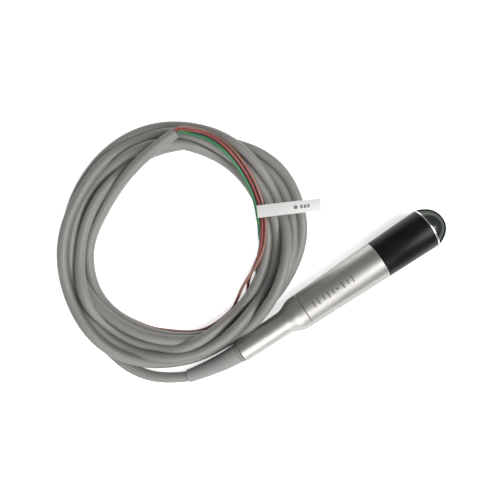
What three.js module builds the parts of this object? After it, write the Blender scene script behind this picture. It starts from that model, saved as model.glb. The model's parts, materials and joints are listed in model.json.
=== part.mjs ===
// A water quality probe lying on a bench beside its coiled cable. Millimetres, +Z up, tip towards +X.
// Distances called "along" run forward along the probe's own axis from the rear end of its neck.
import * as THREE from "three";

// Driving dimensions of the probe's outside.
const NECK_REAR_RADIUS = 6.8;
const NECK_FRONT_RADIUS = 7.3;
const NECK_LENGTH = 31.5;
const CONE_END = 41.5;
const JOINT_AT = 45.6; // the seam where the front housing unscrews from the rear shell
const BODY_REAR_RADIUS = 10.67;
const SLEEVE_AT = 99.6; // rear face of the insulating sleeve's collar
const TIP_AT = 132.5; // rear face of the metal tip
const TIP_REAR_RADIUS = 12.5;
const TIP_END = 143.7;
const FACE_RADIUS = 3.8;
const HALF_TAPER = Math.atan((TIP_REAR_RADIUS - BODY_REAR_RADIUS) / (TIP_AT - JOINT_AT));

// Driving dimensions of what is inside.
const GAP = 0.3; // between pieces that touch
const GLAND_BORE = 4.9;
const NUT_BORE = 5.8;
const SPIGOT_BORE = 7.2;
const SPIGOT_RADIUS = 8.6;
const SPIGOT_END = 55.6;
const THREAD_BORE = 8.95;
const BODY_BORE = 9.4;
const SLEEVE_PLUG_RADIUS = 9.6;
const SLEEVE_PLUG_REAR = 88.3;
const SLEEVE_BORE = 7.6;
const SLEEVE_WALL_AT = 117.7; // the solid front wall that the tip's stud passes through
const STUD_RADIUS = 2.8;
const STUD_HOLE = 3.1;
const SENSOR_BORE = 1.3;
const BOARD = { from: 50.8, to: 103.5, width: 12.6, thickness: 1.6, top: -0.7 };

// Driving dimensions of the cable.
const CABLE_RADIUS = 3.25;
const JACKET_END = 38; // how far the jacket reaches into the neck
const SLEEVING_RADIUS = 3.6; // holes that the cable passes through
const CORE_RADIUS = 0.95;
const BOOT_LENGTH = 37;
const BOOT_PLUG = 4.2; // how far the boot reaches into the neck
const COIL = { x: -69, y: 80.5, outer: 71, inner: 54, stretch: 1.09, height: 16 };

const OUTER_SIDES = 36;
const INNER_SIDES = 16;

const finish = (color, roughness, metalness) => new THREE.MeshStandardMaterial({ color, roughness, metalness });
const materials = {
  satinSteel: finish(0xc3c3c1, 0.32, 1),
  polishedSteel: finish(0xcdd0cc, 0.08, 1),
  blackPlastic: finish(0x0b0c12, 0.12, 0),
  cableJacket: finish(0x8b8a88, 0.55, 0),
  boot: finish(0x7d7c7b, 0.6, 0),
  seal: finish(0x1b1b1b, 0.7, 0),
  brass: finish(0xb8923f, 0.35, 1),
  copper: finish(0xb4653a, 0.35, 1),
  board: finish(0x1e5a34, 0.5, 0),
  component: finish(0x1a1a1c, 0.45, 0),
  whitePlastic: finish(0xe6e4dc, 0.5, 0),
  greenCore: finish(0x2f8f4e, 0.45, 0),
  redCore: finish(0xb5453a, 0.45, 0),
  brownCore: finish(0x7a4a33, 0.45, 0),
  blueCore: finish(0x3d4a78, 0.45, 0),
  label: finish(0xf4f4f2, 0.4, 0),
};

const addPiece = (group, name, geometry, material) => {
  const mesh = new THREE.Mesh(geometry, material);
  mesh.name = name;
  group.add(mesh);
  return mesh;
};

// Profiles are lists of [along, radius]. A ring's profile closes on itself; a solid's starts and ends on the axis.
const lathe = (outline, sides) => new THREE.LatheGeometry(outline, sides).rotateZ(-Math.PI / 2);

const turnedRing = (profile, sides = INNER_SIDES) => {
  const outline = profile.map(([along, radius]) => new THREE.Vector2(radius, along));
  if (THREE.ShapeUtils.isClockWise(outline)) outline.reverse();
  return lathe([...outline, outline[0].clone()], sides);
};

const turnedSolid = (profile, sides = INNER_SIDES) => {
  const outline = profile.map(([along, radius]) => new THREE.Vector2(radius, along));
  if (THREE.ShapeUtils.isClockWise(outline)) outline.reverse();
  return lathe(outline, sides);
};

const washer = (from, to, bore, radius, sides = INNER_SIDES) =>
  turnedRing([[from, bore], [to, bore], [to, radius], [from, radius]], sides);

const oRing = (along, middleRadius, thickness) =>
  turnedRing(
    Array.from({ length: 6 }, (_, i) => {
      const angle = (i * Math.PI) / 3;
      return [along + (thickness / 2) * Math.cos(angle), middleRadius + (thickness / 2) * Math.sin(angle)];
    }),
    OUTER_SIDES,
  );

const box = (from, to, left, right, low, high) =>
  new THREE.BoxGeometry(to - from, right - left, high - low).translate(
    (from + to) / 2,
    (left + right) / 2,
    (low + high) / 2,
  );

const tube = (points, radius, sides, steps) => {
  const section = new THREE.Shape(
    Array.from({ length: sides }, (_, i) => {
      const angle = (i * 2 * Math.PI) / sides;
      return new THREE.Vector2(radius * Math.cos(angle), radius * Math.sin(angle));
    }),
  );
  const extrudePath = new THREE.CatmullRomCurve3(points, false, "centripetal");
  return new THREE.ExtrudeGeometry(section, { steps, extrudePath, bevelEnabled: false });
};

const bodyRadius = (along) => BODY_REAR_RADIUS + (along - JOINT_AT) * Math.tan(HALF_TAPER);

// Three bodies, as they come apart: what stays with the cable, the joint's seal, and the front housing.
const probe = new THREE.Group();
const rearHousing = new THREE.Group();
const threadCarrier = new THREE.Group();
const frontHousing = new THREE.Group();
probe.add(rearHousing, threadCarrier, frontHousing);

// --- The rear shell: neck, shoulder and the threaded spigot that the front housing screws onto.
const SEAL_GROOVE = { from: 47, to: 49.4, floor: 7.95 };

const shoulder = (steps = 6) =>
  Array.from({ length: steps + 1 }, (_, i) => {
    const t = i / steps;
    const rise = THREE.MathUtils.smoothstep(t, 0, 1);
    return [
      THREE.MathUtils.lerp(NECK_LENGTH, CONE_END, t),
      THREE.MathUtils.lerp(NECK_FRONT_RADIUS, bodyRadius(CONE_END), rise),
    ];
  });

addPiece(
  rearHousing,
  "rear_shell",
  turnedRing(
    [
      [0, GLAND_BORE],
      [0, NECK_REAR_RADIUS - 0.4],
      [0.4, NECK_REAR_RADIUS],
      ...shoulder(),
      [JOINT_AT - 0.3, bodyRadius(JOINT_AT)],
      [JOINT_AT, bodyRadius(JOINT_AT) - 0.3],
      [JOINT_AT, SPIGOT_RADIUS],
      [SEAL_GROOVE.from, SPIGOT_RADIUS],
      [SEAL_GROOVE.from, SEAL_GROOVE.floor],
      [SEAL_GROOVE.to, SEAL_GROOVE.floor],
      [SEAL_GROOVE.to, SPIGOT_RADIUS],
      [SPIGOT_END - 0.4, SPIGOT_RADIUS],
      [SPIGOT_END, SPIGOT_RADIUS - 0.4],
      [SPIGOT_END, SPIGOT_BORE],
      [CONE_END, SPIGOT_BORE],
      [JACKET_END, NUT_BORE],
      [28, NUT_BORE],
      [28, GLAND_BORE],
    ],
    OUTER_SIDES,
  ),
  materials.satinSteel,
);

// --- The cable gland inside the neck, from the rear forwards.
const glandRadius = GLAND_BORE - GAP;
const glandStack = [
  ["gland_washer_rear", 4.5, 5.3, materials.brass],
  ["cable_gland_seal", 5.6, 15.6, materials.seal],
  ["gland_washer_front", 15.9, 16.7, materials.brass],
  ["cable_clamp_ring", 17, 27.7, materials.whitePlastic],
];
for (const [name, from, to, material] of glandStack)
  addPiece(rearHousing, name, washer(from, to, SLEEVING_RADIUS, glandRadius), material);
addPiece(rearHousing, "gland_nut", washer(28.3, 33.5, SLEEVING_RADIUS, NUT_BORE - GAP), materials.brass);

// --- The electronics, carried by the rear shell.
const boardTop = BOARD.top + BOARD.thickness / 2;
const boardFoot = BOARD.top - BOARD.thickness / 2;
const partsAt = boardTop + GAP;

addPiece(rearHousing, "board_support_ring", washer(47.5, BOARD.from - GAP, 5.2, SPIGOT_BORE - GAP, 24),
  materials.whitePlastic);
addPiece(
  rearHousing,
  "circuit_board",
  box(BOARD.from, BOARD.to, -BOARD.width / 2, BOARD.width / 2, boardFoot, boardTop),
  materials.board,
);
// Each part on the board: name, from and to along the axis, left and right, height, material.
const boardParts = [
  ["terminal_block", 57.2, 63.2, -5, 5, 4.6, materials.whitePlastic],
  ["power_regulator", 66, 71, -4.5, -0.5, 1.8, materials.component],
  ["microcontroller", 75.5, 82.5, -3.5, 3.5, 1.1, materials.component],
  ["amplifier_chip", 87, 92, -2, 2, 1.5, materials.component],
];
for (const [name, from, to, left, right, height, material] of boardParts)
  addPiece(rearHousing, name, box(from, to, left, right, partsAt, partsAt + height), material);

const upright = (along, side, radius, height) =>
  new THREE.CylinderGeometry(radius, radius, height, 12)
    .rotateX(Math.PI / 2)
    .translate(along, side, partsAt + height / 2);
addPiece(rearHousing, "filter_inductor", upright(69, 2.9, 2.3, 3.2), materials.component);
addPiece(rearHousing, "input_capacitor", upright(96, 3, 2, 4.2), materials.component);
addPiece(rearHousing, "signal_capacitor", upright(96, -3, 1.8, 3.4), materials.component);

addPiece(rearHousing, "ground_spring_washer", washer(55.9, 56.9, 7.4, SPIGOT_RADIUS - 0.1, 24), materials.copper);
addPiece(rearHousing, "contact_carrier", washer(103.8, 107.5, SENSOR_BORE, 6.9, 24), materials.whitePlastic);
addPiece(rearHousing, "tip_contact_spring", washer(107.8, 111.7, 1.7, 2.6), materials.copper);
addPiece(
  rearHousing,
  "temperature_sensor",
  turnedSolid([[103.9, 0], [103.9, 0.9], [127, 0.9], [128, 0.5], [128, 0]]),
  materials.whitePlastic,
);

// Four cores fan out from the jacket's end, through the support ring, to the terminal block.
// Each core: name, side and height at the jacket, height halfway, side at the terminal, material.
const TERMINAL_HEIGHT = 2.6;
const innerCores = [
  ["inner_core_green", -1.2, 1.2, 3.1, -3.6, materials.greenCore],
  ["inner_core_red", -1.2, -1.2, 1.7, -1.2, materials.redCore],
  ["inner_core_brown", 1.2, -1.2, 1.7, 1.2, materials.brownCore],
  ["inner_core_blue", 1.2, 1.2, 3.1, 3.6, materials.blueCore],
];
for (const [name, side, height, halfwayHeight, terminalSide, material] of innerCores) {
  const points = [
    new THREE.Vector3(JACKET_END + GAP, side, height),
    new THREE.Vector3(42, side, height),
    new THREE.Vector3(50, (side + terminalSide) / 2, halfwayHeight),
    new THREE.Vector3(57.2 - GAP, terminalSide, TERMINAL_HEIGHT),
  ];
  addPiece(rearHousing, name, tube(points, 0.8, 8, 8), material);
}

// --- The thread carrier: the seal in the spigot's groove.
const sealMiddle = (SEAL_GROOVE.from + SEAL_GROOVE.to) / 2;
addPiece(threadCarrier, "body_joint_o_ring", oRing(sealMiddle, 8.75, 1.4), materials.seal);

// --- The front housing: body tube, insulating sleeve, metal tip and the stud that holds them together.
const bodyRear = JOINT_AT + GAP;
const bodyFront = SLEEVE_AT - GAP;
addPiece(
  frontHousing,
  "probe_body",
  turnedRing(
    [
      [bodyRear, 9.6],
      [bodyRear, bodyRadius(bodyRear) - 0.3],
      [bodyRear + 0.3, bodyRadius(bodyRear)],
      [bodyFront - 0.4, bodyRadius(bodyFront)],
      [bodyFront, bodyRadius(bodyFront) - 0.4],
      [bodyFront, SLEEVE_PLUG_RADIUS + GAP],
      [SLEEVE_PLUG_REAR - GAP, SLEEVE_PLUG_RADIUS + GAP],
      [SLEEVE_PLUG_REAR - GAP, BODY_BORE],
      [57.5, BODY_BORE],
      [57.5, THREAD_BORE],
      [50.5, THREAD_BORE],
      [50.5, 9.6],
    ],
    OUTER_SIDES,
  ),
  materials.satinSteel,
);

const PLUG_GROOVE = { from: 92, to: 94.2, floor: 8.7 };
const NOSE_GROOVE = { from: 133, to: 135, floor: 7.3 };
const NOSE_RADIUS = 8;
const NOSE_END = 135.7;
addPiece(
  frontHousing,
  "insulator_sleeve",
  turnedRing(
    [
      [SLEEVE_PLUG_REAR, SLEEVE_BORE],
      [SLEEVE_PLUG_REAR, SLEEVE_PLUG_RADIUS],
      [PLUG_GROOVE.from, SLEEVE_PLUG_RADIUS],
      [PLUG_GROOVE.from, PLUG_GROOVE.floor],
      [PLUG_GROOVE.to, PLUG_GROOVE.floor],
      [PLUG_GROOVE.to, SLEEVE_PLUG_RADIUS],
      [SLEEVE_AT, SLEEVE_PLUG_RADIUS],
      [SLEEVE_AT, bodyRadius(SLEEVE_AT) - 0.15],
      [SLEEVE_AT + 0.15, bodyRadius(SLEEVE_AT)],
      [TIP_AT - GAP - 0.2, bodyRadius(TIP_AT - GAP)],
      [TIP_AT - GAP, bodyRadius(TIP_AT - GAP) - 0.2],
      [TIP_AT - GAP, NOSE_RADIUS],
      [NOSE_GROOVE.from, NOSE_RADIUS],
      [NOSE_GROOVE.from, NOSE_GROOVE.floor],
      [NOSE_GROOVE.to, NOSE_GROOVE.floor],
      [NOSE_GROOVE.to, NOSE_RADIUS],
      [NOSE_END, NOSE_RADIUS],
      [NOSE_END, STUD_HOLE],
      [SLEEVE_WALL_AT, STUD_HOLE],
      [SLEEVE_WALL_AT, SLEEVE_BORE],
    ],
    OUTER_SIDES,
  ),
  materials.blackPlastic,
);
addPiece(frontHousing, "sleeve_o_ring", oRing((PLUG_GROOVE.from + PLUG_GROOVE.to) / 2, 9.25, 0.9), materials.seal);
addPiece(frontHousing, "tip_seal_ring", oRing((NOSE_GROOVE.from + NOSE_GROOVE.to) / 2, 7.8, 0.8), materials.seal);

// The nose runs in one curve from the tip's rear corner to its flat sensing face.
const noseCurve = new THREE.CubicBezierCurve(
  new THREE.Vector2(TIP_AT + 0.3, TIP_REAR_RADIUS),
  new THREE.Vector2(TIP_AT + 6, TIP_REAR_RADIUS - 1.3),
  new THREE.Vector2(TIP_END - 0.8, 2 * FACE_RADIUS),
  new THREE.Vector2(TIP_END, FACE_RADIUS),
);
addPiece(
  frontHousing,
  "sensor_tip",
  turnedSolid(
    [
      [140.2, 0],
      [140.2, STUD_HOLE],
      [NOSE_END + GAP, STUD_HOLE],
      [NOSE_END + GAP, NOSE_RADIUS + GAP],
      [TIP_AT, NOSE_RADIUS + GAP],
      [TIP_AT, TIP_REAR_RADIUS - 0.3],
      ...noseCurve.getPoints(7).map((p) => [p.x, p.y]),
      [TIP_END, 0],
    ],
    OUTER_SIDES,
  ),
  materials.polishedSteel,
);
addPiece(
  frontHousing,
  "tip_electrode_stud",
  turnedSolid([[130, 0], [130, SENSOR_BORE], [112, SENSOR_BORE], [112, STUD_RADIUS], [139.9, STUD_RADIUS], [139.9, 0]]),
  materials.brass,
);
addPiece(frontHousing, "tip_washer", washer(116.6, SLEEVE_WALL_AT - GAP, STUD_HOLE, 5.5), materials.brass);

const hexNut = (from, to, hole, cornerRadius) => {
  const hexagon = new THREE.Shape(
    Array.from({ length: 6 }, (_, i) => {
      const angle = (i * Math.PI) / 3;
      return new THREE.Vector2(cornerRadius * Math.cos(angle), cornerRadius * Math.sin(angle));
    }),
  );
  hexagon.holes.push(new THREE.Path().absarc(0, 0, hole, 0, 2 * Math.PI, true));
  const options = { depth: to - from, bevelEnabled: false, curveSegments: INNER_SIDES };
  return new THREE.ExtrudeGeometry(hexagon, options).rotateY(Math.PI / 2).translate(from, 0, 0);
};
addPiece(frontHousing, "tip_nut", hexNut(113.2, 116.3, STUD_HOLE, 5.2), materials.brass);

// The probe lies on its tapered side: the axis tilts up until that side is level, and then its box is centred.
probe.rotation.y = -HALF_TAPER;
probe.updateMatrixWorld(true);
const lying = new THREE.Box3().setFromObject(probe, true);
probe.position.set(-(lying.min.x + lying.max.x) / 2, 0, -lying.min.z);
probe.updateMatrixWorld(true);

// --- The cable: straight out of the neck, down through the boot to the bench, and round to the coil.
const onAxis = (along) => probe.localToWorld(new THREE.Vector3(along, 0, 0));
const leadPoints = [
  onAxis(JACKET_END),
  onAxis(25),
  onAxis(12),
  onAxis(0),
  new THREE.Vector3(-81, 0.35, 8.6),
  new THREE.Vector3(-90, 1.2, 6.4),
  new THREE.Vector3(-99, 2.6, 4.6),
  new THREE.Vector3(-108.6, 4.9, 3.9),
  new THREE.Vector3(-119, 9.9, 3.4),
  new THREE.Vector3(-128.5, 18, 3.3),
  new THREE.Vector3(-136.5, 28.5, 3.3),
  new THREE.Vector3(-142.4, 40, 3.3),
];
const leadCurve = new THREE.CatmullRomCurve3(leadPoints, false, "centripetal");
const cable = new THREE.Group();
addPiece(cable, "cable_lead", tube(leadPoints, CABLE_RADIUS, 12, 26), materials.cableJacket);

// The boot is turned straight and then bent along the cable's curve.
const bendAlong = (geometry, curve, start) => {
  const length = curve.getLength();
  const place = geometry.getAttribute("position");
  const upwards = new THREE.Vector3(0, 0, 1);
  for (let i = 0; i < place.count; i++) {
    const t = (start + place.getX(i)) / length;
    const forward = curve.getTangentAt(t);
    const side = new THREE.Vector3().crossVectors(upwards, forward).normalize();
    const up = new THREE.Vector3().crossVectors(forward, side);
    const point = curve.getPointAt(t).addScaledVector(side, place.getY(i)).addScaledVector(up, place.getZ(i));
    place.setXYZ(i, point.x, point.y, point.z);
  }
  return geometry;
};
// Its taper and its bore have a station every few millimetres, so that both follow the bend.
const BOOT_LIP = { from: BOOT_PLUG + 2 * GAP, length: 0.9, radius: 6.3 };
const BOOT_TAPER = { from: BOOT_PLUG + 1.8, rear: 5.9, end: 4.1 };
const bootEnd = BOOT_PLUG + BOOT_LENGTH;
const bootStations = (from, to, count, radiusAt) =>
  Array.from({ length: count + 1 }, (_, i) => [THREE.MathUtils.lerp(from, to, i / count), radiusAt(i / count)]);
const bootProfile = [
  [0, GLAND_BORE - GAP],
  [BOOT_LIP.from, GLAND_BORE - GAP],
  [BOOT_LIP.from, BOOT_LIP.radius],
  [BOOT_LIP.from + BOOT_LIP.length, BOOT_LIP.radius],
  ...bootStations(BOOT_TAPER.from, bootEnd - 0.4, 7, (t) => THREE.MathUtils.lerp(BOOT_TAPER.rear, BOOT_TAPER.end, t)),
  ...bootStations(bootEnd, 0, 9, () => SLEEVING_RADIUS),
];
addPiece(
  cable,
  "strain_relief_boot",
  bendAlong(turnedRing(bootProfile, 24), leadCurve, JACKET_END - BOOT_PLUG),
  materials.boot,
);

// The coil's outer shape is an oval ring, relieved underneath its inner edge, where the stripped cores run.
const coilSection = [
  [COIL.inner, 2.6],
  [COIL.inner, COIL.height - 4],
  [COIL.inner + 4, COIL.height],
  [COIL.outer - 4, COIL.height],
  [COIL.outer, COIL.height - 4],
  [COIL.outer, 2],
  [COIL.outer - 1, 0],
  [COIL.inner + 14.6, 0],
  [COIL.inner + 13.8, 2.6],
];
const coilOutline = coilSection.map(([radius, height]) => new THREE.Vector2(radius, height));
if (THREE.ShapeUtils.isClockWise(coilOutline)) coilOutline.reverse();
const coilGeometry = new THREE.LatheGeometry([...coilOutline, coilOutline[0].clone()], 48).rotateX(Math.PI / 2);
const coil = addPiece(cable, "cable_coil", coilGeometry, materials.cableJacket);
coil.position.set(COIL.x, COIL.y, 0);
coil.scale.x = COIL.stretch;

// The stripped cores, as [angle in degrees, radius, height] round the coil's middle.
const coreRoutes = {
  wire_blue: [
    [48, 62.3, 17.3], [38, 63.4, 17.3], [27, 62.2, 17.3], [16, 60, 17.3], [7, 58.4, 17.3], [-2, 57.1, 17.2],
    [-12, 55.8, 16.7], [-22, 54, 13.2], [-32, 53.6, 7.4], [-42, 55.4, 1.6], [-52, 58.6, 1], [-62, 61.8, 1],
    [-75, 63.6, 1], [-90, 65.2, 1], [-107, 66.2, 1], [-130, 63.6, 1], [-145, 63, 1], [-161, 63, 1],
    [-178, 62.7, 1], [-194, 61.6, 1], [-207, 58.4, 1],
  ],
  wire_green: [
    [48, 61.2, 19.2], [38, 62.3, 19.2], [27, 61.1, 19.2], [16, 58.9, 19.2], [7, 57.3, 19.2],
    [-2, 56, 19.2], [-12, 54.8, 19], [-22, 53.7, 18.8], [-32, 54.4, 15.2], [-42, 54, 7],
    [-52, 54.4, 1.4], [-62, 59.2, 1], [-75, 61.3, 1], [-90, 63, 1], [-107, 64, 1], [-130, 61.4, 1],
    [-145, 60.8, 1], [-161, 60.8, 1], [-178, 60.4, 1], [-193, 59.3, 1],
  ],
  wire_red: [
    [50, 63.4, 19.2], [38, 64.6, 19.2], [27, 63.4, 19.2], [16, 61.2, 19.2], [7, 59.6, 19.2],
    [-2, 58.3, 19.2], [-12, 57.1, 19.2], [-22, 56, 19.2], [-32, 55, 18], [-42, 54.3, 13.6],
    [-52, 53.3, 6], [-62, 53.6, 1.4], [-75, 59, 1], [-90, 60.8, 1], [-107, 61.8, 1], [-130, 59.2, 1],
    [-145, 58.6, 1], [-161, 58.6, 1], [-178, 58.3, 1], [-196, 56.7, 1], [-210, 54.1, 1],
  ],
  wire_brown: [
    [52, 65.7, 19.2], [38, 66.9, 19.2], [27, 65.7, 19.2], [16, 63.5, 19.2], [7, 61.9, 19.2],
    [-2, 60.6, 19.2], [-12, 59.4, 19.2], [-22, 58.3, 19.2], [-32, 57.2, 19.2], [-42, 56, 18.2],
    [-52, 54.2, 12.2], [-62, 52.6, 5.6], [-72, 53.2, 1.4], [-86, 57.6, 1], [-107, 59.6, 1], [-130, 57, 1],
    [-145, 56.4, 1], [-161, 56.4, 1], [-178, 56, 1], [-197, 54.4, 1], [-212, 51.5, 1],
  ],
};
const coreColours = {
  wire_green: materials.greenCore,
  wire_red: materials.redCore,
  wire_brown: materials.brownCore,
  wire_blue: materials.blueCore,
};
const roundCoil = ([degrees, radius, height]) => {
  const angle = THREE.MathUtils.degToRad(degrees);
  return new THREE.Vector3(COIL.x + radius * Math.cos(angle), COIL.y + radius * Math.sin(angle), height);
};
for (const [name, route] of Object.entries(coreRoutes))
  addPiece(cable, name, tube(route.map(roundCoil), CORE_RADIUS, 8, 30), coreColours[name]);

// The paper flag folded round two of the cores, standing out past the coil's edge.
const FLAG = { x: -0.9, y: 55.4, z: 21.4, length: 38.2, width: 7.2, thickness: 0.5, turn: -27, droop: 2 };
const flag = addPiece(
  cable,
  "marker_flag",
  new THREE.BoxGeometry(FLAG.length, FLAG.width, FLAG.thickness),
  materials.label,
);
flag.position.set(FLAG.x, FLAG.y, FLAG.z);
flag.rotation.set(0, THREE.MathUtils.degToRad(FLAG.droop), THREE.MathUtils.degToRad(FLAG.turn), "ZYX");

const waterQualityProbe = new THREE.Group();
waterQualityProbe.add(probe, cable);
export default waterQualityProbe;
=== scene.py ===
# %% [markdown]
# # A water quality probe and its coiled cable
# The probe is a turned metal instrument: a slim neck, a shoulder, a satin body, a glossy insulating
# sleeve and a polished tip. It lies on a bench beside its own cable, looped into a loose coil.
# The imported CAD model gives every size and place. This lesson makes the surfaces that are seen.

# %% Load the frame
import json
import math

import bpy
import numpy as np
from mathutils import Matrix, Vector


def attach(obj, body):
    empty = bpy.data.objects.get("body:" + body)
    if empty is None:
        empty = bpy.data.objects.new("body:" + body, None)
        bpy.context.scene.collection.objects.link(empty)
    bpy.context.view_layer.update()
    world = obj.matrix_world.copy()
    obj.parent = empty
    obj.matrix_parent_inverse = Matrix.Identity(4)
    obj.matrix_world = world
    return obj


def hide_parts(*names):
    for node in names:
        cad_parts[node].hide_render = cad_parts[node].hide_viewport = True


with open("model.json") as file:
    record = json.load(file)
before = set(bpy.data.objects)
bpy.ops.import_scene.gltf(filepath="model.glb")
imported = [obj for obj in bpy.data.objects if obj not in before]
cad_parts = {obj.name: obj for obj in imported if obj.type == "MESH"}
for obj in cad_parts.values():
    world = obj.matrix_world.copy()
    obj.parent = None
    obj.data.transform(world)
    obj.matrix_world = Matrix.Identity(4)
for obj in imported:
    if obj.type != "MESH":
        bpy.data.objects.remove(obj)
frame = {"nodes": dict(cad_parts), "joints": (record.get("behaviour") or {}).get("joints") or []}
bpy.ops.object.select_all(action="DESELECT")
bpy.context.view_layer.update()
MM = 0.001

# %% [markdown]
# The probe's own axis tilts up a little, because the tapered body lies on its side. The service joint
# turns about that axis, so its record gives the direction. The neck's rear end is the start of every
# distance along the probe.

# %% Find the probe's axis
turn_joint = next(j for j in frame["joints"] if j["name"] == "front_turn")
axis_start = Vector(turn_joint["pos_m"])
axis_direction = Vector(turn_joint["axis"]).normalized()
tilt = math.asin(axis_direction.z)
probe_place = Matrix.Translation(axis_start) @ Matrix.Rotation(-tilt, 4, "Y")
print("axis starts at", axis_start, "tilt in degrees", round(math.degrees(tilt), 2))

# %% [markdown]
# ## Camera
# The view is straight down, with the probe pointing up to the right. A short focal length at arm's
# length gives the slight spread of a hand-held camera.

# %% Set the camera
CAMERA_HEIGHT = 0.340
VIEW_WIDTH = 0.3104
SCREEN_TURN = math.radians(33.8)  # how far the probe's axis stands above the picture's horizontal
view_middle = Vector((-0.0334, 0.0478, 0))
camera_data = bpy.data.cameras.new("camera")
camera_data.sensor_width = 36
camera_data.lens = 36 * CAMERA_HEIGHT / VIEW_WIDTH
camera_data.clip_start = 0.01
camera = bpy.data.objects.new("camera", camera_data)
bpy.context.scene.collection.objects.link(camera)
camera.location = view_middle + Vector((0, 0, CAMERA_HEIGHT))
camera.rotation_euler = (0, 0, -SCREEN_TURN)
bpy.context.scene.camera = camera
print("lens in mm:", round(camera_data.lens, 1))

# %% [markdown]
# ## The cable's route
# A loose coil isn't a helix: every turn has its own size, and turns wander over each other. So each
# turn is a list of twelve radii round the coil's middle, and a loop makes the points.

# %% List the coil's turns
COIL_MIDDLE = Vector((-69, 80, 0)) * MM
CABLE_RADIUS = 3.25 * MM
CORE_RADIUS = 0.95 * MM
FIRST_ANGLE = 210  # degrees, falling by the step at each radius
ANGLE_STEP = 30
coil_radii_mm = [
    80, 72.6, 66.5, 65.1, 67, 69.5, 69, 69, 70.3, 71, 71, 75.8,
    77.5, 70.8, 64.2, 61, 62.8, 64, 62, 62.6, 64.2, 65.2, 67.1, 72.8,
    74.6, 68.7, 61, 58.5, 56.5, 57.5, 58.2, 58.3, 59.2, 59, 60.7, 66.2,
    68, 62, 55, 51.3, 51, 56.3, 63.4, 73.6, 75.2, 72, 67.2, 62.4,
    60.3, 60.7, 59.2, 54, 53.7, 59.8, 66.5, 79, 80, 73, 66, 61,
    58.5, 58, 51.6, 45.3, 45.6, 56.8,
]
lead_points_mm = [
    (-90, 1.2, 6.4), (-99, 2.6, 4.6), (-108.6, 4.9, 3.9),
    (-119, 9.9, 3.4), (-128.5, 18, 3.3), (-134.6, 27, 3.3),
]
CUT_END_MM = (-32, 128.2)


def round_coil(degrees, radius_mm, height_mm=0.0, middle=COIL_MIDDLE):
    angle = math.radians(degrees)
    return np.array([
        middle.x + radius_mm * MM * math.cos(angle),
        middle.y + radius_mm * MM * math.sin(angle),
        height_mm * MM,
    ])


coil_points = [round_coil(FIRST_ANGLE - ANGLE_STEP * i, r) for i, r in enumerate(coil_radii_mm)]
lead_points = [np.array(p) * MM for p in lead_points_mm]
print("turns:", round(len(coil_radii_mm) * ANGLE_STEP / 360, 2))

# %% [markdown]
# A smooth curve through given points is what a draughtsman's spline gives. The Catmull-Rom form
# passes through every point, so the route stays where it was put. It is then cut into equal steps.

# %% Draw a smooth line through points


def smooth_line(points, step):
    points = np.array(points)
    ends = np.vstack([2 * points[0] - points[1], points, 2 * points[-1] - points[-2]])
    t = np.linspace(0, 1, 24, endpoint=False)[:, None]
    spans = []
    for a, b, c, d in zip(ends, ends[1:], ends[2:], ends[3:]):
        spans.append(0.5 * (2 * b + (c - a) * t + (2 * a - 5 * b + 4 * c - d) * t**2
                            + (3 * b - a - 3 * c + d) * t**3))
    line = np.vstack(spans + [points[-1:]])
    along = np.concatenate([[0], np.cumsum(np.linalg.norm(np.diff(line, axis=0), axis=1))])
    count = int(round(along[-1] / step)) + 1
    wanted = np.linspace(0, along[-1], count)
    return np.column_stack([np.interp(wanted, along, line[:, i]) for i in range(3)])


def line_length(line):
    return float(np.linalg.norm(np.diff(line, axis=0), axis=1).sum())


STEP = 3.5 * MM
cable_plan = smooth_line(lead_points + coil_points + [np.array([*CUT_END_MM, 0]) * MM], STEP)
print("cable points:", len(cable_plan))

# %% [markdown]
# The stripped cores leave the cut end, run round the inner edge of the coil on top of it, drop inside
# it and go on beneath its inner turns. Their routes are short lists of angle, radius and height.

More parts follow.
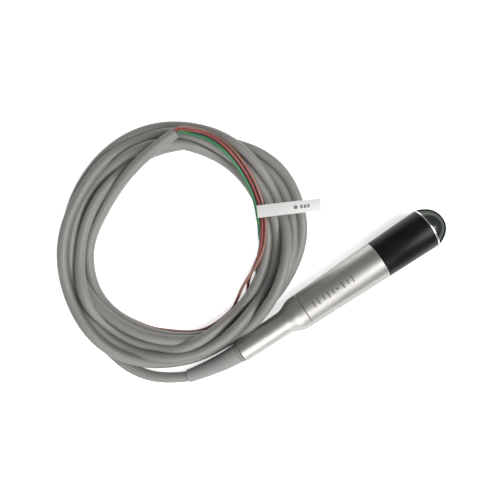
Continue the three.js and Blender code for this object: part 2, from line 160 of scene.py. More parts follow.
# %% List the cores' routes
CORE_MIDDLE = Vector((-69, 80.5, 0)) * MM
core_routes = {
    "wire_blue": [
        (48, 62.3, 17.3), (38, 63.4, 17.3), (27, 62.2, 17.3), (16, 60, 17.3), (7, 58.4, 17.3),
        (-2, 57.1, 17.2), (-12, 55.8, 16.7), (-22, 54, 13.2), (-32, 53.6, 7.4), (-42, 55.4, 1.6),
        (-52, 58.6, 1), (-62, 61.8, 1), (-75, 63.6, 1), (-90, 65.2, 1), (-107, 66.2, 1), (-130, 63.6, 1),
        (-145, 63, 1), (-161, 63, 1), (-178, 62.7, 1), (-194, 61.6, 1), (-207, 58.4, 1),
    ],
    "wire_green": [
        (48, 61.2, 19.2), (38, 62.3, 19.2), (27, 61.1, 19.2), (16, 58.9, 19.2), (7, 57.3, 19.2),
        (-2, 56, 19.2), (-12, 54.8, 19), (-22, 53.7, 18.8), (-32, 54.4, 15.2), (-42, 54, 7),
        (-52, 54.4, 1.4), (-62, 59.2, 1), (-75, 61.3, 1), (-90, 63, 1), (-107, 64, 1), (-130, 61.4, 1),
        (-145, 60.8, 1), (-161, 60.8, 1), (-178, 60.4, 1), (-193, 59.3, 1),
    ],
    "wire_red": [
        (50, 63.4, 19.2), (38, 64.6, 19.2), (27, 63.4, 19.2), (16, 61.2, 19.2), (7, 59.6, 19.2),
        (-2, 58.3, 19.2), (-12, 57.1, 19.2), (-22, 56, 19.2), (-32, 55, 18), (-42, 54.3, 13.6),
        (-52, 53.3, 6), (-62, 53.6, 1.4), (-75, 59, 1), (-90, 60.8, 1), (-107, 61.8, 1), (-130, 59.2, 1),
        (-145, 58.6, 1), (-161, 58.6, 1), (-178, 58.3, 1), (-196, 56.7, 1), (-210, 54.1, 1),
    ],
    "wire_brown": [
        (52, 65.7, 19.2), (38, 66.9, 19.2), (27, 65.7, 19.2), (16, 63.5, 19.2), (7, 61.9, 19.2),
        (-2, 60.6, 19.2), (-12, 59.4, 19.2), (-22, 58.3, 19.2), (-32, 57.2, 19.2), (-42, 56, 18.2),
        (-52, 54.2, 12.2), (-62, 52.6, 5.6), (-72, 53.2, 1.4), (-86, 57.6, 1), (-107, 59.6, 1), (-130, 57, 1),
        (-145, 56.4, 1), (-161, 56.4, 1), (-178, 56, 1), (-197, 54.4, 1), (-212, 51.5, 1),
    ],
}
CORE_STEP = 1.6 * MM
core_lines = {}
for name, route in core_routes.items():
    core_lines[name] = smooth_line([round_coil(*point, middle=CORE_MIDDLE) for point in route], CORE_STEP)
    print(name, "length in mm:", round(line_length(core_lines[name]) / MM))

# %% [markdown]
# ## Let the coil settle
# Real turns rest on the bench and on each other. Every point starts at a height that says which turn
# lies over which, and then falls in small steps. Points that come closer than a diameter push apart,
# the bench stops them, and the cable's stiffness keeps a crossing long and low. The cut end is then
# lifted to lie level on the turns below it.

# %% Settle the cable
drop_turns = [0, 0.35, 0.9, 1.2, 2.1, 2.3, 2.9, 3.2, 3.5, 4.0, 5.1, 5.25, 5.4, 5.6]
drop_heights_mm = [0, 12, 14, 28, 30, 22, 21, 12, 7, 6, 1, 2, 20, 36]
SETTLE_ROUNDS = 1200
FALL_STEP = 0.06 * MM
PLAN_PULL = 0.35  # how much of its sideways drift a point gives back in each round
PUSH_SHARE = 0.2  # how much of an overlap each of two points gives way by
FLOOR_LEVEL = 1.5 * MM  # a core's point below this lies on the bench
CUT_END_HEIGHT = 19.5 * MM
RISE_POINTS, RISE_STEPS = 22, 16


def settle(plan, start_height, obstacles):
    line = plan.copy()
    line[:, 2] = start_height
    held = 6  # the first points lie inside the boot
    line[:held] = plan[:held]
    count = len(line)
    first, second = np.triu_indices(count, k=int(7 * CABLE_RADIUS / STEP))
    near = np.hypot(*(plan[first, :2] - plan[second, :2]).T) < 2 * CABLE_RADIUS + 5 * MM
    first, second = first[near], second[near]
    close = np.hypot(plan[:, None, 0] - obstacles[None, :, 0], plan[:, None, 1] - obstacles[None, :, 1])
    over, under = np.nonzero(close < CABLE_RADIUS + CORE_RADIUS)
    for _ in range(SETTLE_ROUNDS):
        line[held:, 2] -= FALL_STEP
        for _ in range(4):
            bend = np.zeros_like(line)
            bend[2:-2] = (-line[:-4] + 4 * line[1:-3] - 6 * line[2:-2] + 4 * line[3:-1] - line[4:]) / 16
            line[held:] += bend[held:]
        line[held:, :2] += PLAN_PULL * (plan[held:, :2] - line[held:, :2])
        gap = line[first] - line[second]
        distance = np.maximum(np.linalg.norm(gap, axis=1), 1e-9)
        overlap = 2 * CABLE_RADIUS - distance
        push = np.where(distance < 2 * CABLE_RADIUS, overlap / distance * PUSH_SHARE, 0)
        move = gap * push[:, None]
        np.add.at(line, first, move)
        np.add.at(line, second, -move)
        if len(over):
            flat = np.hypot(*(line[over, :2] - obstacles[under, :2]).T)
            reach = np.sqrt(np.maximum((CABLE_RADIUS + CORE_RADIUS) ** 2 - flat**2, 0))
            np.maximum.at(line[:, 2], over, np.where(reach > 0, obstacles[under, 2] + reach, 0))
        line[:held] = plan[:held]
        line[held:, 2] = np.maximum(line[held:, 2], CABLE_RADIUS)
    for _ in range(12):
        line[held + 1:-1] = 0.5 * line[held + 1:-1] + 0.25 * (line[held:-2] + line[held + 2:])
    return line


floor_cores = np.vstack([line[line[:, 2] < FLOOR_LEVEL] for line in core_lines.values()])
turn_number = np.linspace(0, 1, len(cable_plan)) * (len(coil_radii_mm) * ANGLE_STEP / 360)
start_height = CABLE_RADIUS + np.interp(turn_number, drop_turns, drop_heights_mm) * MM
cable_line = settle(cable_plan, start_height, floor_cores)
rise = np.clip((np.arange(len(cable_line)) - len(cable_line) + RISE_POINTS) / RISE_STEPS, 0, 1)
rise = rise * rise * (3 - 2 * rise)
cable_line[:, 2] += rise * (CUT_END_HEIGHT - cable_line[:, 2])
highest = round(cable_line[:, 2].max() / MM, 1)

# %% Lay the cores over the settled cable


def lay_core(line, laid):
    line = line.copy()
    top = line[:, 2] > FLOOR_LEVEL
    rest = np.full(len(line), CORE_RADIUS)
    for others, radius in laid:
        flat = np.hypot(line[:, None, 0] - others[None, :, 0], line[:, None, 1] - others[None, :, 1])
        touching = radius + CORE_RADIUS
        reach = others[None, :, 2] + np.sqrt(np.maximum(touching**2 - flat**2, 0))
        rest = np.maximum(rest, np.where(flat < touching, reach, 0).max(axis=1))
    rest = np.where(top, rest, line[:, 2])
    height = rest.copy()
    for _ in range(60):
        height[1:-1] = 0.5 * height[1:-1] + 0.25 * (height[:-2] + height[2:])
        height = np.where(top, np.maximum(height, rest), rest)
    line[:, 2] = np.where(top, height, line[:, 2])
    return line


cut_end = Vector(cable_line[-1])
cut_heading = Vector(cable_line[-1] - cable_line[-4]).normalized()
cut_side = cut_heading.cross(Vector((0, 0, 1))).normalized()
cut_up = cut_side.cross(cut_heading)
CORE_SPREAD = 1.15 * MM  # how far each core lies from the middle of the cut end
cut_places = {"wire_green": (1, 0.6), "wire_red": (0, 1), "wire_brown": (-1, 0.6), "wire_blue": (0, -1)}
laid = [(cable_line, CABLE_RADIUS)]
for name, line in core_lines.items():
    settled = lay_core(line, laid)
    side, up = cut_places[name]
    start = cut_end + (cut_side * side + cut_up * up) * CORE_SPREAD
    leaving = [np.array(start - cut_heading * 1 * MM), np.array(start + cut_heading * 3 * MM)]
    core_lines[name] = smooth_line(np.vstack([leaving, settled[4::4]]), CORE_STEP)
    core_lines[name][:, 2] = np.maximum(core_lines[name][:, 2], CORE_RADIUS)
    laid.append((settled, CORE_RADIUS))
    print(name, "starts at", [round(c / MM, 1) for c in core_lines[name][0]])

# %% [markdown]
# A cable is a curve with a round bevel: the curve keeps its centre line, and the bevel its thickness.
# The ends are filled, because the far end of this cable is cut off square.

# %% Make the cords


def cord_curve(name, line, radius, sides):
    curve = bpy.data.curves.new(name, "CURVE")
    curve.dimensions = "3D"
    curve.bevel_depth = 1.0  # times the radius at each point
    curve.bevel_resolution = sides
    curve.use_fill_caps = True
    spline = curve.splines.new("POLY")
    spline.points.add(len(line) - 1)
    for point, place in zip(spline.points, line):
        point.co = (*place, 1)
        point.radius = radius
    spline.use_smooth = True
    piece = bpy.data.objects.new(name, curve)
    bpy.context.scene.collection.objects.link(piece)
    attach(piece, "rear_housing")
    return piece


cable = cord_curve("signal_cable", cable_line, CABLE_RADIUS, 6)
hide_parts("cable_lead", "cable_coil")
cores = {}
for name, line in core_lines.items():
    cores[name] = cord_curve(name.replace("wire", "core"), line, CORE_RADIUS, 4)
    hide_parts(name)
print("cords:", cable.name, *(core.name for core in cores.values()))


# %% [markdown]
# ## Shader maths as Python
# Node trees are easier to read as expressions. One small class wraps a socket, so that plus and times
# add Math nodes, and one method adds any other node.

# %% Wrap a socket


class Value:
    def __init__(self, tree, socket):
        self.tree, self.socket = tree, socket

    def math(self, operation, *others):
        return self.tree.node("ShaderNodeMath", {"operation": operation}, dict(enumerate((self, *others))))

    def __add__(self, other):
        return self.math("ADD", other)

    def __sub__(self, other):
        return self.math("SUBTRACT", other)

    def __mul__(self, other):
        return self.math("MULTIPLY", other)

    def above(self, limit):
        return self.math("GREATER_THAN", limit)

    def below(self, limit):
        return self.math("LESS_THAN", limit)


class Finish:
    """One material: its tree, its shader and the few things that every finish needs."""

    def __init__(self, name, **sockets):
        self.material = bpy.data.materials.new(name)
        self.material.use_nodes = True
        self.tree = self.material.node_tree
        self.shader = self.tree.nodes["Principled BSDF"]
        for socket, value in sockets.items():
            self.shader.inputs[socket.replace("_", " ")].default_value = value

    def node(self, kind, settings=None, inputs=None, output=0):
        made = self.tree.nodes.new(kind)
        for key, value in (settings or {}).items():
            setattr(made, key, value)
        for key, value in (inputs or {}).items():
            if isinstance(value, Value):
                self.tree.links.new(value.socket, made.inputs[key])
            else:
                made.inputs[key].default_value = value
        return Value(self, made.outputs[output])

    def feed(self, socket, value):
        self.tree.links.new(value.socket, self.shader.inputs[socket])

    def place(self, scale=(1, 1, 1), turn=(0, 0, 0)):
        spot = self.node("ShaderNodeTexCoord", output="Object")
        return self.node("ShaderNodeMapping", inputs={"Vector": spot, "Scale": scale, "Rotation": turn})

    def noise(self, where, scale, detail=3.0, roughness=0.5):
        inputs = {"Vector": where, "Scale": scale, "Detail": detail, "Roughness": roughness}
        return self.node("ShaderNodeTexNoise", inputs=inputs)

    def between(self, value, low, high):
        return self.node("ShaderNodeMapRange", inputs={"Value": value, "To Min": low, "To Max": high})

    def blend(self, factor, first, second):
        mixer = self.tree.nodes.new("ShaderNodeMix")
        mixer.data_type = "RGBA"
        self.tree.links.new(factor.socket, mixer.inputs["Factor"])
        for key, colour in (("A", first), ("B", second)):
            socket = next(i for i in mixer.inputs if i.name == key and i.type == "RGBA")
            if isinstance(colour, Value):
                self.tree.links.new(colour.socket, socket)
            else:
                socket.default_value = (*colour, 1)
        return Value(self, next(o for o in mixer.outputs if o.type == "RGBA"))

    def bump(self, height, depth, strength=1.0):
        inputs = {"Height": height, "Distance": depth, "Strength": strength}
        self.feed("Normal", self.node("ShaderNodeBump", inputs=inputs))


def dress(piece, finish):
    piece.data.materials.clear()
    piece.data.materials.append(finish.material)


# %% [markdown]
# ## Plastics
# The cable's jacket is soft vinyl: a warm grey with a satin shine, very fine grain and a few faint
# scuffs. Its colour hardly changes, so most of its look comes from roughness.

# %% Make the plastic finishes


def moulded_finish(name, colour, roughness, grain_depth, coat=0.0):
    finish = Finish(name, Coat_Weight=coat, Coat_Roughness=0.15)
    where = finish.place()
    cloud = finish.noise(where, 45.0, 4.0)
    grain = finish.noise(where, 2600.0, 2.0)
    darker = tuple(c * 0.88 for c in colour)
    finish.feed("Base Color", finish.blend(cloud, darker, colour))
    scuffs = finish.noise(where, 320.0, 5.0, 0.65)
    finish.feed("Roughness", finish.between(scuffs, roughness - 0.09, roughness + 0.09))
    finish.bump(grain, grain_depth)
    return finish


jacket_grey = moulded_finish("jacket_grey", (0.20, 0.195, 0.183), 0.46, 0.00003)
boot_grey = moulded_finish("boot_grey", (0.225, 0.22, 0.212), 0.55, 0.00005)
seal_black = moulded_finish("seal_black", (0.018, 0.018, 0.019), 0.5, 0.00003)
component_black = moulded_finish("component_black", (0.03, 0.03, 0.033), 0.45, 0.00002)
plain_white = moulded_finish("plain_white", (0.74, 0.72, 0.66), 0.42, 0.00003)
core_finishes = {
    "green": moulded_finish("core_green", (0.015, 0.15, 0.045), 0.35, 0.00001),
    "red": moulded_finish("core_red", (0.20, 0.030, 0.025), 0.35, 0.00001),
    "brown": moulded_finish("core_brown", (0.26, 0.12, 0.09), 0.35, 0.00001),
    "blue": moulded_finish("core_blue", (0.085, 0.10, 0.24), 0.35, 0.00001),
}
board_green = moulded_finish("board_green", (0.02, 0.17, 0.065), 0.3, 0.00002, coat=0.6)
print("plastics ready")

# %% [markdown]
# ## Metals
# The body is turned stainless steel with a fine bead-blasted skin: bright but never mirror-like. Faint
# rings from the lathe run round it, so the noise is stretched round the axis, not along it.

# %% Make the metal finishes


def turned_finish(name, colour, roughness, ring_scale, ring_depth, spread=0.05, edge=0.5):
    finish = Finish(name, Metallic=1.0, Specular_Tint=(edge, edge, edge, 1))
    where = finish.place(scale=(1.0, 0.02, 0.02), turn=(0, tilt, 0))
    rings = finish.noise(where, ring_scale, 3.0)
    skin = finish.noise(finish.place(), 3200.0, 2.0)
    cloud = finish.noise(finish.place(), 60.0, 4.0)
    darker = tuple(c * 0.92 for c in colour)
    finish.feed("Base Color", finish.blend(cloud, darker, colour))
    uneven = finish.between(cloud, roughness - spread, roughness + spread)
    finish.feed("Roughness", uneven + (rings - 0.5) * 0.08)
    finish.bump(rings + skin * 0.6, ring_depth)
    return finish


# The floors of the engraving are dark. The tip's steel is painted dark, a painted reflection of dark
# surroundings, with a rim painted bright behind its nose, a painted highlight.
SATIN_RINGS, POLISHED_RINGS = (2600.0, 0.000004), (900.0, 0.0000006)  # scale and depth
engraved_floor = turned_finish("engraved_floor", (0.10, 0.10, 0.095), 0.5, *SATIN_RINGS)
satin_steel = turned_finish("satin_steel", (0.46, 0.45, 0.43), 0.40, *SATIN_RINGS)
# The tip's dark base colour and dim edge tint are a painted reflection of dark surroundings.
tip_steel_painted_dark_reflection = turned_finish("tip_steel_painted_dark_reflection", (0.105, 0.115, 0.105), 0.2, *POLISHED_RINGS, spread=0.04,
                               edge=0.15)
# A brighter copy of the tip's steel for its rim: a painted highlight.
rim_painted_highlight = turned_finish("rim_painted_highlight", (0.75, 0.76, 0.74), 0.2, *POLISHED_RINGS, spread=0.04)
machined_brass = turned_finish("machined_brass", (0.62, 0.45, 0.18), 0.3, 2400.0, 0.000004)
bright_copper = turned_finish("bright_copper", (0.70, 0.33, 0.2), 0.25, 2400.0, 0.000003)

# The insulating sleeve is a glossy black plastic turned and polished, with fine handling marks.
gloss_black = Finish("gloss_black", Specular_IOR_Level=0.14)
sleeve_place = gloss_black.place()
sleeve_haze = gloss_black.noise(sleeve_place, 120.0, 5.0, 0.6)
sleeve_rings = gloss_black.noise(gloss_black.place(scale=(1.0, 0.02, 0.02), turn=(0, tilt, 0)), 1500.0, 2.0)
gloss_black.feed("Base Color", gloss_black.blend(sleeve_haze, (0.003, 0.003, 0.004), (0.007, 0.007, 0.009)))
gloss_black.feed("Roughness", gloss_black.between(sleeve_haze, 0.26, 0.38))
gloss_black.bump(sleeve_rings, 0.000002)
print("metals ready")

# %% Dress the CAD nodes that stay
node_finishes = {
    machined_brass: ["gland_washer_rear", "gland_washer_front", "gland_nut", "tip_electrode_stud",
                     "tip_washer", "tip_nut"],
    seal_black: ["cable_gland_seal", "sleeve_o_ring", "tip_seal_ring"],
    plain_white: ["cable_clamp_ring", "board_support_ring", "terminal_block", "contact_carrier",
                  "temperature_sensor"],
    board_green: ["circuit_board"],
    component_black: ["power_regulator", "microcontroller", "amplifier_chip", "filter_inductor",
                      "input_capacitor", "signal_capacitor"],
    bright_copper: ["ground_spring_washer", "tip_contact_spring"],
    core_finishes["green"]: ["inner_core_green"],
    core_finishes["red"]: ["inner_core_red"],
    core_finishes["brown"]: ["inner_core_brown"],
    core_finishes["blue"]: ["inner_core_blue"],
}
for finish, names in node_finishes.items():
    for name in names:
        for slot in frame["nodes"][name].material_slots:
            slot.material = finish.material
dress(cable, jacket_grey)
for name, core in cores.items():
    dress(core, core_finishes[name.split("_")[1]])

# %% [markdown]
# ## Turned pieces
# A lathe makes a shape by turning an outline about an axis, and Blender's spin does the same. One
# vertex is added and extruded from point to point along the outline, and the outline is spun. The
# piece is made level and then laid on the probe's tilted axis.

# %% Spin an outline


def spun(name, profile, steps=96, sharp=28, place=probe_place):
    """A closed turned piece from its outline, a closed list of (along, radius) in millimetres."""
    start = Vector((profile[0][0], 0, profile[0][1])) * MM
    bpy.ops.mesh.primitive_plane_add(size=0.001, location=start)
    piece = bpy.context.object
    piece.name = piece.data.name = name
    bpy.ops.object.transform_apply(location=True, rotation=True, scale=True)
    bpy.ops.object.mode_set(mode="EDIT")
    bpy.ops.mesh.select_all(action="SELECT")
    bpy.ops.mesh.merge(type="CENTER")
    for (x0, r0), (x1, r1) in zip(profile, profile[1:] + profile[:1]):
        step = ((x1 - x0) * MM, 0, (r1 - r0) * MM)
        bpy.ops.mesh.extrude_vertices_move(TRANSFORM_OT_translate={"value": step})
    bpy.ops.mesh.select_all(action="SELECT")
    bpy.ops.mesh.remove_doubles(threshold=1e-7)
    bpy.ops.mesh.spin(steps=steps, angle=2 * math.pi, center=(0, 0, 0), axis=(1, 0, 0))
    bpy.ops.mesh.select_all(action="SELECT")
    bpy.ops.mesh.remove_doubles(threshold=1e-6)
    bpy.ops.mesh.normals_make_consistent(inside=False)
    bpy.ops.object.mode_set(mode="OBJECT")
    bpy.ops.object.shade_smooth_by_angle(angle=math.radians(sharp))
    piece.data.transform(place)
    piece.select_set(False)
    return piece


def arc(centre, radius, start, end, steps):
    """Points of a circular arc in an outline, from one angle to another in degrees."""
    angles = [math.radians(start + (end - start) * i / steps) for i in range(steps + 1)]
    return [(centre[0] + radius * math.cos(a), centre[1] + radius * math.sin(a)) for a in angles]


def cubic(a, b, c, d, steps):
    """Points of a cubic curve in an outline, from its two ends and two handles."""
    points = []
    for i in range(steps + 1):
        t = i / steps
        weights = ((1 - t) ** 3, 3 * t * (1 - t) ** 2, 3 * t * t * (1 - t), t**3)
        points.append(tuple(sum(w * p[k] for w, p in zip(weights, (a, b, c, d))) for k in (0, 1)))
    return points


NECK_LENGTH, CONE_END, JOINT_AT, SLEEVE_AT, TIP_AT, TIP_END = 31.5, 41.5, 45.6, 99.6, 132.5, 143.7
JOINT_RADIUS, TIP_RADIUS = 10.67, 12.5


def side_radius(along):
    return JOINT_RADIUS + (along - JOINT_AT) * (TIP_RADIUS - JOINT_RADIUS) / (TIP_AT - JOINT_AT)


# %% [markdown]
# The rear shell has the slim neck that the boot plugs into, an S-curved shoulder with a crisp edge
# where it leaves the neck, and a threaded spigot that shows only when the service joint is open.

# %% Turn the rear shell
PITCH = 1.5
SPIGOT_RADIUS, SPIGOT_END = 8.6, 55.6
neck_profile = [(0, 4.9), (0, 6.35), *arc((0.45, 6.35), 0.45, 180, 90, 4), (NECK_LENGTH - 0.5, 7.3),
                (NECK_LENGTH, 7.34)]
cone_radius = side_radius(CONE_END)
shoulder_profile = cubic((NECK_LENGTH + 0.15, 7.42), (NECK_LENGTH + 3.6, 7.9),
                         (CONE_END - 4.2, cone_radius - 0.25), (CONE_END, cone_radius), 14)
joint_lip = [(JOINT_AT - 0.35, side_radius(JOINT_AT)), (JOINT_AT - 0.05, side_radius(JOINT_AT) - 0.3),
             (JOINT_AT, 9.4), (JOINT_AT, SPIGOT_RADIUS)]
seal_groove = [(47, SPIGOT_RADIUS), (47, 7.95), (49.4, 7.95), (49.4, SPIGOT_RADIUS)]
thread_profile = []
thread_at = 50.2
while thread_at + PITCH / 2 < SPIGOT_END - 0.6:
    thread_profile += [(thread_at, SPIGOT_RADIUS), (thread_at + 0.35, SPIGOT_RADIUS - 0.55),
                       (thread_at + 0.7, SPIGOT_RADIUS)]
    thread_at += PITCH / 2
spigot_front = [(SPIGOT_END - 0.4, SPIGOT_RADIUS), (SPIGOT_END, SPIGOT_RADIUS - 0.4), (SPIGOT_END, 7.2)]
shell_inside = [(CONE_END, 7.2), (38, 5.8), (28, 5.8), (28, 4.9)]
shell_profile = (neck_profile + shoulder_profile + joint_lip + seal_groove + thread_profile + spigot_front
                 + shell_inside)
rear_shell = spun("rear_shell_turned", shell_profile)
dress(rear_shell, satin_steel)
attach(rear_shell, "rear_housing")
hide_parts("rear_shell")
print("rear shell faces:", len(rear_shell.data.polygons))

# %% Turn the joint's seal
joint_seal = spun("joint_seal_ring", arc((48.2, 8.75), 0.7, 0, 337.5, 15), steps=72, sharp=60)
dress(joint_seal, seal_black)
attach(joint_seal, "thread_carrier")
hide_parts("body_joint_o_ring")

# %% [markdown]
# The body tube has a fine seam at its rear, and a bright chamfer at its front, where light catches a
# thin line before the black sleeve.

# %% Turn the body tube
BODY_REAR, BODY_FRONT = JOINT_AT + 0.12, SLEEVE_AT - 0.06
body_profile = [
    (BODY_REAR, 9.6), (BODY_REAR, side_radius(BODY_REAR) - 0.3), (BODY_REAR + 0.3, side_radius(BODY_REAR)),
    (72, side_radius(72)), (BODY_FRONT - 0.7, side_radius(BODY_FRONT - 0.7)),
    (BODY_FRONT - 0.15, side_radius(BODY_FRONT) - 0.45), (BODY_FRONT, side_radius(BODY_FRONT) - 0.7),
    (BODY_FRONT, 9.9), (88, 9.9), (88, 9.4), (57.5, 9.4), (57.5, 8.95), (50.5, 8.95), (50.5, 9.6),
]
body_tube = spun("body_tube", body_profile, steps=128)
dress(body_tube, satin_steel)

# %% [markdown]
# A row of engraved strokes marks the type. They are plain bars of a few lengths, cut into the wall with
# a boolean, so that their floors and edges are real.

# %% Engrave the mark
ENGRAVING_FROM, ENGRAVING_DEPTH, ENGRAVING_TURN = 52.0, 0.22, math.radians(-5)
bars = [(0, 6.2, 0.6), (3.2, 6.2, 0.6), (7.0, 3.1, 0.6), (10.2, 6.2, 0.6), (13.4, 3.1, 0.6), (16.4, 1.0, 1.2),
        (20.2, 6.2, 0.6), (23.6, 3.1, 0.6), (26.8, 6.2, 0.6)]
cutters = []
for offset, length, width in bars:
    along = ENGRAVING_FROM + offset
    top = side_radius(along)
    bpy.ops.mesh.primitive_cube_add(size=1)
    cutter = bpy.context.object
    cutter.data.transform(Matrix.Translation(Vector((along, 0, top + 1 - ENGRAVING_DEPTH)) * MM)
                          @ Matrix.Diagonal((width * MM, length * MM, 2 * MM, 1)))
    cutters.append(cutter)
bpy.ops.object.select_all(action="DESELECT")
for cutter in cutters:
    cutter.select_set(True)
bpy.context.view_layer.objects.active = cutters[0]
bpy.ops.object.join()
engraver = bpy.context.object
engraver.data.transform(probe_place @ Matrix.Rotation(ENGRAVING_TURN, 4, "X"))
engraver.data.materials.append(engraved_floor.material)
cut = body_tube.modifiers.new("engraving", "BOOLEAN")
cut.object = engraver
cut.solver = "EXACT"
cut.material_mode = "TRANSFER"
bpy.context.view_layer.objects.active = body_tube
bpy.ops.object.select_all(action="DESELECT")
body_tube.select_set(True)
bpy.ops.object.modifier_apply(modifier=cut.name)
bpy.data.objects.remove(engraver)
body_tube.select_set(False)
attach(body_tube, "front_housing")
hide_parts("probe_body")
print("body faces:", len(body_tube.data.polygons))

# %% [markdown]
# The sleeve is black plastic turned flush with the body. A small step at each end keeps a shadow line.

# %% Turn the sleeve
SLEEVE_END = TIP_AT - 0.1
sleeve_profile = [
    (88.3, 7.6), (88.3, 9.6), (92, 9.6), (92, 8.7), (94.2, 8.7), (94.2, 9.6), (SLEEVE_AT, 9.6),
    (SLEEVE_AT, side_radius(SLEEVE_AT) - 0.12),
    *arc((SLEEVE_AT + 0.12, side_radius(SLEEVE_AT) - 0.12), 0.12, 180, 90, 3),
    (116, side_radius(116)), *arc((SLEEVE_END - 0.15, side_radius(SLEEVE_END) - 0.15), 0.15, 90, 0, 3),
    (SLEEVE_END, 8), (133, 8), (133, 7.3), (135, 7.3), (135, 8), (135.7, 8), (135.7, 3.1), (117.7, 3.1),
    (117.7, 7.6),
]
sleeve = spun("insulating_sleeve", sleeve_profile, steps=128)
dress(sleeve, gloss_black)
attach(sleeve, "front_housing")
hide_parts("insulator_sleeve")

# %% [markdown]
# The tip is polished steel, coloured dark as a painted reflection of dark surroundings: a narrow rim where it
# meets the sleeve, painted bright as a painted highlight, a long curved nose, and a flat sensing face.

# %% Turn the tip
FACE_RADIUS = 3.8
nose_profile = cubic((TIP_AT + 1.1, TIP_RADIUS - 0.12), (TIP_AT + 6.2, TIP_RADIUS - 1.5),
                     (TIP_END - 0.9, 2 * FACE_RADIUS), (TIP_END, FACE_RADIUS), 20)
tip_profile = [
    (TIP_AT, 8.3), (TIP_AT, TIP_RADIUS - 0.25), *arc((TIP_AT + 0.25, TIP_RADIUS - 0.25), 0.25, 180, 90, 4),
    (TIP_AT + 0.8, TIP_RADIUS), *nose_profile, (TIP_END, 0.6), (TIP_END, 0.0004),
    (140.2, 0.0004), (140.2, 3.1), (136, 3.1), (136, 8.3),
]
tip = spun("polished_tip", tip_profile, steps=128, sharp=35)
dress(tip, tip_steel_painted_dark_reflection)
tip.data.materials.append(rim_painted_highlight.material)
# The rim faces just behind the sleeve take the second slot, the painted highlight.
level = probe_place.inverted()
for face in tip.data.polygons:
    spot = (level @ face.center) / MM
    if spot.x < TIP_AT + 0.85 and math.hypot(spot.y, spot.z) > TIP_RADIUS - 0.4:
        face.material_index = 1
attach(tip, "front_housing")
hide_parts("sensor_tip")
print("tip faces:", len(tip.data.polygons))

# %% [markdown]
# ## The strain relief
# The boot is moulded rubber over the cable: a lip and a groove where it meets the neck, and a long
# taper that bends with the cable. It is spun straight, and every vertex is then carried to the cable's
# own curve, so the boot and the cable bend as one.

# %% Turn the boot and bend it
BOOT_LENGTH, BOOT_PLUG = 37.0, 4.2
BOOT_STEPS = 24
boot_taper = [(2.0 + (BOOT_LENGTH - 2.6) * i / BOOT_STEPS, 5.95 - 1.95 * i / BOOT_STEPS)
              for i in range(BOOT_STEPS + 1)]
boot_bore = [(BOOT_LENGTH - (BOOT_LENGTH + BOOT_PLUG) * i / BOOT_STEPS, 3.45) for i in range(BOOT_STEPS + 1)]
boot_profile = [(-BOOT_PLUG, 4.6), (0.25, 4.6), (0.25, 6.2), *arc((0.55, 6.05), 0.3, 180, 90, 3),
                *arc((1.1, 6.05), 0.3, 90, 0, 3), (1.45, 5.6), (1.8, 5.55), *boot_taper,
                (BOOT_LENGTH - 0.35, 4.12), (BOOT_LENGTH - 0.1, 4.05), (BOOT_LENGTH, 3.85), *boot_bore]
boot = spun("strain_relief_moulded", boot_profile, steps=64, sharp=40, place=Matrix.Identity(4))

ROUTE_STEP = 0.5 * MM
ROUTE_FROM = 38  # inside the neck, where the cable's jacket ends
on_axis = [np.array(probe_place @ Vector((along * MM, 0, 0))) for along in (ROUTE_FROM, 25, 12, 0)]
behind_neck = np.array((-81, 0.35, 8.6)) * MM
boot_route = smooth_line(on_axis + [behind_neck] + lead_points, ROUTE_STEP)
neck_rear = round(ROUTE_FROM * MM / ROUTE_STEP)


def bend_along(piece, line, start, step):
    for vertex in piece.data.vertices:
        spot = start + vertex.co.x / step
        index = min(max(int(spot), 1), len(line) - 3)
        part = spot - index
        centre = Vector(line[index] * (1 - part) + line[index + 1] * part)
        forward = Vector(line[index + 1] - line[index - 1]).normalized()
        side = Vector((0, 0, 1)).cross(forward).normalized()
        up = forward.cross(side)
        vertex.co = centre + side * vertex.co.y + up * vertex.co.z


bend_along(boot, boot_route, neck_rear, ROUTE_STEP)
dress(boot, boot_grey)
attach(boot, "rear_housing")
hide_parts("strain_relief_boot")
print("boot faces:", len(boot.data.polygons))

# %% [markdown]
# ## The marker flag
# A strip of white film is folded round two of the cores and stuck to itself, so it stands out past the
# coil's edge. It is a flat sheet with a gentle sag along its length, a slight curl, and printed
# dashes where its code would be.

# %% Bend the flag
FLAG_LENGTH, FLAG_WIDTH, FLAG_THICKNESS = 37.5, 7.2, 0.25 * MM
flag_middle = Vector((-0.9, 55.4, 0)) * MM
flag_turn = math.radians(-27)
bpy.ops.mesh.primitive_grid_add(x_subdivisions=60, y_subdivisions=10, size=1, calc_uvs=True)
flag = bpy.context.object
flag.name = flag.data.name = "marker_flag_film"
core_top = max(float(core_lines[n][:, 2].max()) for n in ("wire_red", "wire_brown"))
FLAG_HEIGHT = core_top + CORE_RADIUS + 0.4 * MM
for vertex in flag.data.vertices:
    u, v = vertex.co.x + 0.5, vertex.co.y
    x = (u - 0.5) * FLAG_LENGTH * MM
    y = v * FLAG_WIDTH * MM
    sag = -3.2 * MM * max(0.0, u - 0.35) ** 2
    curl = 0.25 * MM * math.cos(v * math.pi) + 0.3 * MM * math.sin(u * 5)
    vertex.co = (x, y, FLAG_HEIGHT + sag + curl)
flag.data.transform(Matrix.Translation(flag_middle) @ Matrix.Rotation(flag_turn, 4, "Z"))
thick = flag.modifiers.new("film", "SOLIDIFY")
thick.thickness = FLAG_THICKNESS
bpy.ops.object.modifier_apply(modifier=thick.name)
bpy.ops.object.shade_smooth_by_angle(angle=math.radians(40))
flag.select_set(False)

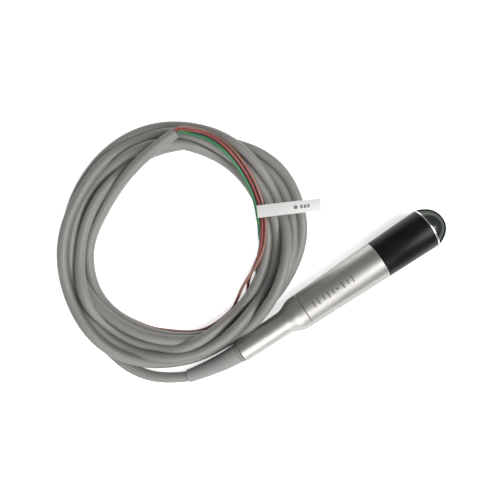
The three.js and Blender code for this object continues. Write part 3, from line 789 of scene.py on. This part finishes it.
label_film = Finish("label_film", Coat_Weight=0.3, Coat_Roughness=0.2)
film_place = label_film.node("ShaderNodeUVMap")
film_parts = label_film.tree.nodes.new("ShaderNodeSeparateXYZ")
label_film.tree.links.new(film_place.socket, film_parts.inputs[0])
along_film, across_film = (Value(label_film, film_parts.outputs[i]) for i in (0, 1))
dashes = None
for start, end in ((0.57, 0.63), (0.67, 0.71), (0.725, 0.765), (0.78, 0.82)):
    dash = along_film.above(start) * along_film.below(end)
    dashes = dash if dashes is None else dashes + dash
printed = dashes * across_film.above(0.36) * across_film.below(0.64)
paper = label_film.noise(label_film.place(), 300.0, 4.0)
white = label_film.blend(paper, (0.50, 0.50, 0.49), (0.57, 0.57, 0.56))
label_film.feed("Base Color", label_film.blend(printed, white, (0.10, 0.10, 0.10)))
label_film.feed("Roughness", label_film.between(paper, 0.3, 0.42))
dress(flag, label_film)
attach(flag, "rear_housing")
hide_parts("marker_flag")

for name, core in cores.items():
    name.split("_")[1] + "_core"
    pieces_on_it = [flag] if name == "wire_red" else []
print("declared", 1 + len(cores), "cords")

# %% [markdown]
# ## Bench and light
# The bench is a plain pale surface that glows faintly, so that it stays near white. A large soft
# light stands on the near side, so that each strand is bright towards it and dark away from it. A
# second light hangs high at the right and keeps the shadows open. The Standard view shows the colours
# as they are, with no film curve.

# %% Lay the bench
BENCH_GLOW = 0.6
bpy.ops.mesh.primitive_plane_add(size=4)
floor = bpy.context.object
floor.name = "bench"
bench = Finish("bench_white")
bench_cloud = bench.noise(bench.place(), 8.0, 3.0)
bench.feed("Base Color", bench.blend(bench_cloud, (0.90, 0.90, 0.90), (0.93, 0.93, 0.93)))
bench.feed("Roughness", bench.between(bench_cloud, 0.55, 0.65))
bench.shader.inputs["Emission Color"].default_value = (1, 1, 1, 1)
bench.shader.inputs["Emission Strength"].default_value = BENCH_GLOW
dress(floor, bench)

# %% Hang the lights


def softbox(name, place, aim, size, power):
    data = bpy.data.lights.new(name, "AREA")
    data.shape = "RECTANGLE"
    data.size = data.size_y = size
    data.energy = power
    light = bpy.data.objects.new(name, data)
    bpy.context.scene.collection.objects.link(light)
    light.location = place
    light.rotation_euler = (aim - place).to_track_quat("-Z", "Y").to_euler()


near_side = Vector((-math.sin(SCREEN_TURN), -math.cos(SCREEN_TURN), 0))
right_side = Vector((math.cos(SCREEN_TURN), -math.sin(SCREEN_TURN), 0))
key_place = view_middle + near_side * 0.75 + Vector((0, 0, 0.65))
fill_place = view_middle + right_side * 0.7 + Vector((0, 0, 0.9))
softbox("key", key_place, view_middle, size=0.9, power=8)
softbox("fill", fill_place, view_middle, size=0.6, power=11)
world = bpy.data.worlds.new("studio")
world.use_nodes = True
background = world.node_tree.nodes["Background"]
background.inputs["Color"].default_value = (0.93, 0.93, 0.92, 1)
background.inputs["Strength"].default_value = 0.32
bpy.context.scene.world = world
bpy.context.scene.view_settings.view_transform = "Standard"
